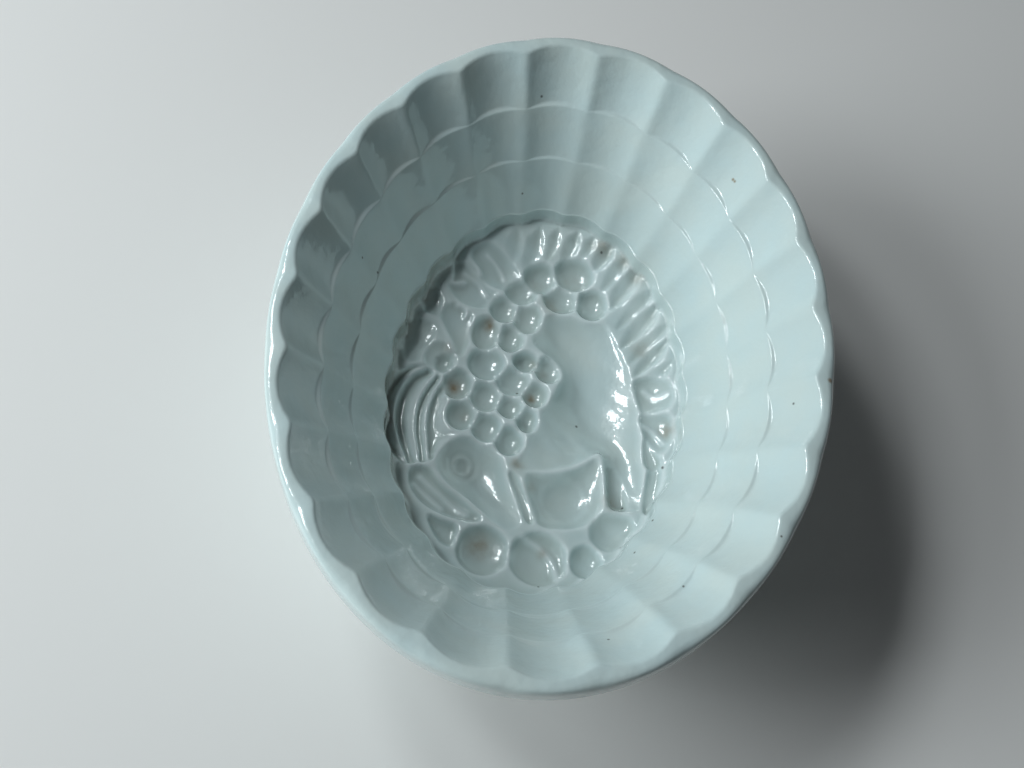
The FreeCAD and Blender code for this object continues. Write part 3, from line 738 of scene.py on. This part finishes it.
def lattice(rim):
    """Lay out the floor's points inside the rim: their keys, their places and how far inside they lie.

    A key has two numbers: the point's place in its row, and its row along the length. Each row
    is shifted half a pitch from the one before it.
    """
    pitch = LATTICE_PITCH
    row_gap = pitch * math.sqrt(3) / 2
    half_width = BASIN_HALF_WIDTH + LATTICE_SPARE
    half_length = BASIN_HALF_LENGTH + LATTICE_SPARE
    rows = int(half_length / row_gap)
    keys = []
    for b in range(-rows, rows + 1):
        half = half_width * math.sqrt(1 - (b * row_gap / half_length) ** 2)
        first = math.ceil(-half / pitch - b / 2)
        last = math.floor(half / pitch - b / 2)
        keys += [(a, b) for a in range(first, last + 1)]
    places = np.array([((a + b / 2) * pitch, b * row_gap) for a, b in keys])
    depth_inside = inside_distance(places, rim[:, :2])
    kept = depth_inside > LATTICE_MARGIN
    keys = [key for key, keep in zip(keys, kept) if keep]
    return keys, places[kept], depth_inside[kept]


def lattice_triangles(keys):
    """Join the points of the lattice by triangles, and give the edges along its shore."""
    index = {key: i for i, key in enumerate(keys)}
    triangles = []
    for a, b in keys:
        for corners in (((a, b), (a + 1, b), (a, b + 1)), ((a + 1, b), (a + 1, b + 1), (a, b + 1))):
            if all(key in index for key in corners):
                triangles.append([index[key] for key in corners])
    triangles = np.array(triangles)
    edges = np.concatenate([triangles[:, [0, 1]], triangles[:, [1, 2]], triangles[:, [2, 0]]])
    codes = np.sort(edges, axis=1) @ np.array([len(keys), 1])
    _, where, counts = np.unique(codes, return_index=True, return_counts=True)
    return triangles, edges[where[counts == 1]]


def band(rim, floor, shore):
    """Join the lattice's shore to the rim by triangles. Rim points come first in the result."""
    shore_points = np.unique(shore)
    local = {point: i for i, point in enumerate(shore_points)}
    count = len(rim)
    flat = [Vector(point[:2]) for point in rim] + [Vector(floor[point, :2]) for point in shore_points]
    edges = [(i, (i + 1) % count) for i in range(count)]
    edges += [(count + local[a], count + local[b]) for a, b in shore]
    _, _, faces, originals, _, _ = delaunay_2d_cdt(flat, edges, [], TRIANGLES_INSIDE, BAND_ERROR)
    sources = [item[0] for item in originals]
    joined = []
    for face in faces:
        points = [sources[i] for i in face]
        if all(point >= count for point in points):
            centre = np.mean([flat[point] for point in points], axis=0)
            if inside_shore(centre, flat, shore, local, count):
                continue
        joined.append(points)
    return shore_points, joined


def inside_shore(centre, flat, shore, local, count):
    """Tell whether a place lies inside the lattice's shore."""
    inside = False
    for a, b in shore:
        ax, ay = flat[count + local[a]]
        bx, by = flat[count + local[b]]
        if (ay > centre[1]) != (by > centre[1]) and centre[0] < ax + (centre[1] - ay) * (bx - ax) / (by - ay):
            inside = not inside
    return inside


def mould_surface():
    """Work out the mould's points and faces, and the tone and brown at each point: the glaze's stains and
    pooling, mixed with painted light and shade.
    """
    rings = wall_rings()
    rim = rings[-1]
    recess_rings = [rings[0] * (share, share, 1) for share in RECESS_RINGS]
    wall = np.concatenate([*recess_rings, *rings])
    rim_start = len(wall) - COLUMNS
    faces = []
    for low in range(0, rim_start, COLUMNS):
        high = low + COLUMNS
        for c in range(COLUMNS):
            d = (c + 1) % COLUMNS
            faces.append((low + c, high + c, high + d, low + d))
    centre = len(wall)
    faces += [(centre, c, (c + 1) % COLUMNS) for c in range(COLUMNS)]
    floor_start = centre + 1
    keys, places, depth_inside = lattice(rim)
    heights, floor_tone = floor_heights(keys, places, depth_inside)
    floor = np.column_stack([places, heights])
    triangles, shore = lattice_triangles(keys)
    faces += [tuple(floor_start + i for i in triangle) for triangle in triangles]
    shore_points, joined = band(rim, floor, shore)
    for triangle in joined:
        faces.append(tuple(
            rim_start + i if i < len(rim) else floor_start + shore_points[i - len(rim)] for i in triangle))
    points = np.concatenate([wall, [[0.0, 0.0, SECTION[0].height]], floor])
    tone = np.concatenate([np.zeros(floor_start), floor_tone])
    # Painted shade on the lowest rings of the basin's left wall.
    wall_painted_shade = np.zeros(floor_start)
    low_rings = slice(rim_start - (PAINTED_SHADE_RINGS - 1) * COLUMNS, rim_start + COLUMNS)
    wall_painted_shade[low_rings] = PAINTED_SHADE_STRENGTH * spread_share(points[low_rings, :2], PAINTED_SHADE_SPREAD)
    brown = np.concatenate([wall_painted_shade, stains_and_painted_shade(places, depth_inside)])
    return points, faces, tone, brown


def mould_mesh():
    """Make the whole mould one closed mesh."""
    points, faces, tone, brown = mould_surface()
    mesh = bpy.data.meshes.new("mould_glazed")
    mesh.from_pydata((points * MM).tolist(), [], [tuple(int(i) for i in face) for face in faces])
    for name, values in (("tone", tone), ("brown", brown)):
        mesh.attributes.new(name, "FLOAT", "POINT").data.foreach_set("value", values)
    work = bmesh.new()
    work.from_mesh(mesh)
    loose = [vertex for vertex in work.verts if not vertex.link_faces]
    bmesh.ops.delete(work, geom=loose, context="VERTS")
    bmesh.ops.recalc_face_normals(work, faces=work.faces)
    for face in work.faces:
        face.smooth = True
    work.to_mesh(mesh)
    work.free()
    return mesh


def blend(material, factor, first, second):
    """Mix two colours. Each is a socket or a plain colour."""
    node = material.node_tree.nodes.new("ShaderNodeMix")
    node.data_type = "RGBA"
    material.node_tree.links.new(factor, node.inputs["Factor"])
    for name, colour in (("A", first), ("B", second)):
        socket = [item for item in node.inputs if item.name == name and item.type == "RGBA"][0]
        if isinstance(colour, tuple):
            socket.default_value = (*colour, 1)
        else:
            material.node_tree.links.new(colour, socket)
    return [item for item in node.outputs if item.type == "RGBA"][0]


def calculate(material, operation, first, second):
    """Do one sum in the shader. Each value is a socket or a plain number."""
    node = material.node_tree.nodes.new("ShaderNodeMath")
    node.operation = operation
    for socket, value in zip(node.inputs, (first, second)):
        if isinstance(value, (int, float)):
            socket.default_value = value
        else:
            material.node_tree.links.new(value, socket)
    return node.outputs[0]


def fade(material, value, low, high, start, end):
    """Map a value from one range to another."""
    node = material.node_tree.nodes.new("ShaderNodeMapRange")
    material.node_tree.links.new(value, node.inputs["Value"])
    for name, number in (("From Min", low), ("From Max", high), ("To Min", start), ("To Max", end)):
        node.inputs[name].default_value = number
    return node.outputs["Result"]


def noise(material, place, scale, detail):
    """Add a noise texture, and give its value."""
    node = material.node_tree.nodes.new("ShaderNodeTexNoise")
    node.inputs["Scale"].default_value = scale
    node.inputs["Detail"].default_value = detail
    material.node_tree.links.new(place, node.inputs["Vector"])
    return node.outputs["Fac"]


def attribute(material, name):
    """Read one of the mould's own values."""
    node = material.node_tree.nodes.new("ShaderNodeAttribute")
    node.attribute_name = name
    return node.outputs["Fac"]


def spot_share(material, place, spots):
    """Give nearly 1 in small round spots and 0 outside them."""
    nearest = OUTSIDE_SPOTS
    for x, y, z, radius in spots:
        gap = material.node_tree.nodes.new("ShaderNodeVectorMath")
        gap.operation = "DISTANCE"
        material.node_tree.links.new(place, gap.inputs[0])
        gap.inputs[1].default_value = (x * MM, y * MM, z * MM)
        share = calculate(material, "DIVIDE", gap.outputs["Value"], radius * MM)
        nearest = calculate(material, "MINIMUM", share, nearest)
    return fade(material, nearest, *SPOT_EDGE, SPOT_STRENGTH, 0.0)


def glaze():
    """White glaze with a cool tint: paler on ridges and darker in hollows, partly as painted light and shade;
    stained, with brown painted shade at the foot of the left wall, and specked.
    """
    material = bpy.data.materials.new("glaze")
    material.use_nodes = True
    nodes = material.node_tree.nodes
    links = material.node_tree.links
    shader = nodes["Principled BSDF"]
    shader.inputs["Roughness"].default_value = 0.25
    shader.inputs["Coat Weight"].default_value = 1.0
    shader.inputs["Coat Roughness"].default_value = 0.03
    place = nodes.new("ShaderNodeTexCoord").outputs["Object"]
    cloud = fade(material, noise(material, place, *CLOUDS), *CLOUD_RANGE, 0.0, 1.0)
    body = blend(material, cloud, GLAZE_COOL, GLAZE_WARM)
    tone = attribute(material, "tone")
    # Painted light on ridges and painted shade in hollows, partly the glaze's own thinning and pooling.
    body = blend(material, fade(material, tone, 0.0, 1.0, 0.0, RIDGE_SHARE), body, RIDGE_GLAZE_AND_LIGHT)
    body = blend(material, fade(material, tone, 0.0, -1.0, 0.0, HOLLOW_SHARE), body, POOLED_GLAZE_AND_SHADE)
    patch = fade(material, noise(material, place, *PATCHES), *PATCH_RANGE, BETWEEN_PATCHES, 1.0)
    # The brown holds real stains and the painted shade at the foot of the left wall.
    brown = calculate(material, "MULTIPLY", attribute(material, "brown"), patch)
    body = blend(material, brown, body, STAIN_AND_SHADE)
    body = blend(material, spot_share(material, place, MARKS), body, STAIN_AND_SHADE)
    body = blend(material, spot_share(material, place, SPECKS), body, SPECK)
    links.new(body, shader.inputs["Base Color"])
    bump = nodes.new("ShaderNodeBump")
    bump.inputs["Strength"].default_value = RIPPLE_STRENGTH
    bump.inputs["Distance"].default_value = RIPPLE_DEPTH
    links.new(noise(material, place, *RIPPLES), bump.inputs["Height"])
    links.new(bump.outputs["Normal"], shader.inputs["Normal"])
    links.new(bump.outputs["Normal"], shader.inputs["Coat Normal"])
    return material


def make_mould():
    """Make the mould and dress it in glaze."""
    mesh = mould_mesh()
    mould = bpy.data.objects.new("mould_glazed", mesh)
    bpy.context.scene.collection.objects.link(mould)
    mesh.materials.append(glaze())
    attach(mould, "root")
    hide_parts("mould")


def make_camera():
    """Look down into the mould from its near end, as the photograph does."""
    camera = bpy.data.objects.new("camera", bpy.data.cameras.new("camera"))
    bpy.context.scene.collection.objects.link(camera)
    camera.data.lens = LENS
    camera.data.sensor_width = 36.0
    camera.data.clip_start = 0.01
    turn = Matrix.Rotation(math.radians(CAMERA_TILT), 4, "Y")
    turn = turn @ Matrix.Rotation(math.radians(CAMERA_PITCH), 4, "X")
    turn = turn @ Matrix.Rotation(math.radians(CAMERA_ROLL), 4, "Z")
    camera.matrix_world = Matrix.Translation(Vector(CAMERA_PLACE) * MM) @ turn
    bpy.context.scene.camera = camera


def make_lamp(name, place, width, height, power, reflected):
    """Hang one soft rectangular lamp."""
    light = bpy.data.lights.new(name, "AREA")
    light.color = DAYLIGHT
    light.shape = "RECTANGLE"
    light.size = width
    light.size_y = height
    light.energy = power
    holder = bpy.data.objects.new(name, light)
    bpy.context.scene.collection.objects.link(holder)
    holder.location = place
    holder.rotation_euler = (Vector(LAMP_AIM) - Vector(place)).to_track_quat("-Z", "Y").to_euler()
    holder.visible_glossy = reflected


def make_studio():
    """Lay a plain pale floor, and light it softly from the left as by a window."""
    bpy.ops.mesh.primitive_plane_add(size=FLOOR_SIZE, location=(0, 0, 0))
    floor = bpy.context.object
    floor.name = "floor"
    material = bpy.data.materials.new("floor")
    material.use_nodes = True
    shader = material.node_tree.nodes["Principled BSDF"]
    shader.inputs["Base Color"].default_value = (*FLOOR_COLOUR, 1)
    shader.inputs["Roughness"].default_value = 0.9
    floor.data.materials.append(material)
    world = bpy.data.worlds.new("world")
    bpy.context.scene.world = world
    world.use_nodes = True
    background = world.node_tree.nodes["Background"]
    background.inputs["Color"].default_value = (*SKY, 1)
    background.inputs["Strength"].default_value = SKY_STRENGTH
    for values in LAMPS:
        make_lamp(*values)
    bpy.context.scene.view_settings.view_transform = "Standard"


make_mould()
make_camera()
make_studio()
